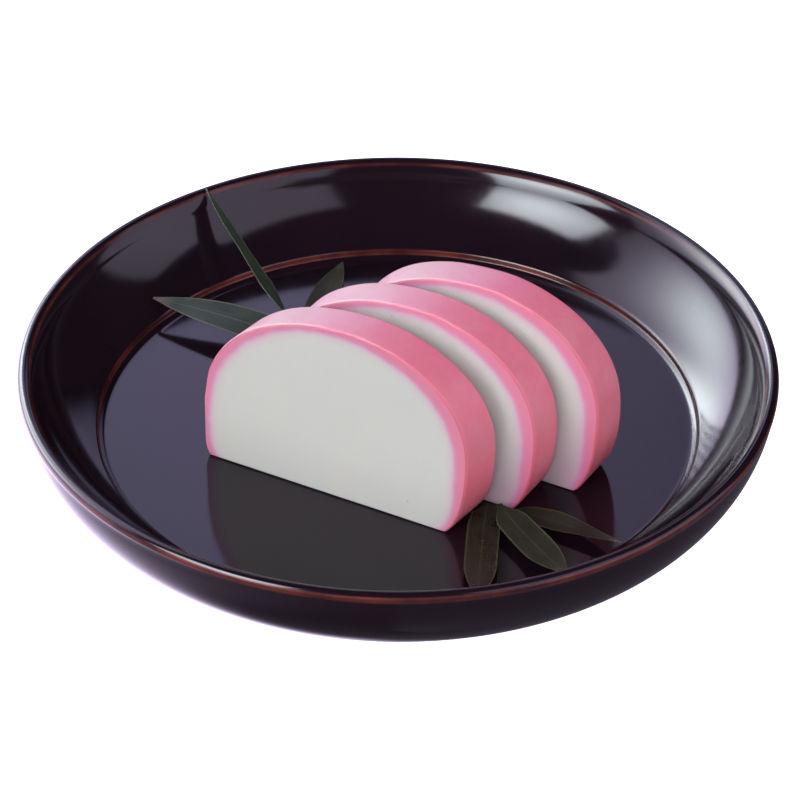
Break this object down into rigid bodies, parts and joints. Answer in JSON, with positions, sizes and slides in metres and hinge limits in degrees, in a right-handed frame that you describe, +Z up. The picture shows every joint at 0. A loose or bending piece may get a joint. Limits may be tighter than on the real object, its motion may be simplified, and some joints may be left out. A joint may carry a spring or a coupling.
{
  "type": "kamaboko fish cake slices in a lacquered dish",
  "caption": "Sliced pink-skinned fish cake standing on its base in a shallow round lacquered dish, with bamboo-grass leaves beside it.",
  "frame": {"origin": "on the table, under the middle of the dish, at the height of its foot ring", "axes": "+Z up; the slices' cut faces look towards -Y and a little towards -X, the front leaves point towards -Y"},
  "size_m": [0.1502, 0.1502, 0.0503],
  "materials": {
    "lacquer": "black-brown gloss lacquer over turned wood",
    "fish_paste": null,
    "pink_skin": null,
    "bamboo_leaf": "dark green leaf with fine lengthwise veins"
  },
  "bodies": {
    "root": {"dish": "lacquer", "slice_front_core": "fish_paste", "slice_front_skin": "pink_skin", "slice_middle_core": "fish_paste", "slice_middle_skin": "pink_skin", "slice_back_core": "fish_paste", "slice_back_skin": "pink_skin", "leaf_left": "bamboo_leaf", "leaf_back": "bamboo_leaf", "leaf_behind": "bamboo_leaf", "leaf_front": "bamboo_leaf", "leaf_front_right": "bamboo_leaf", "leaf_right": "bamboo_leaf"}
  },
  "joints": []
}
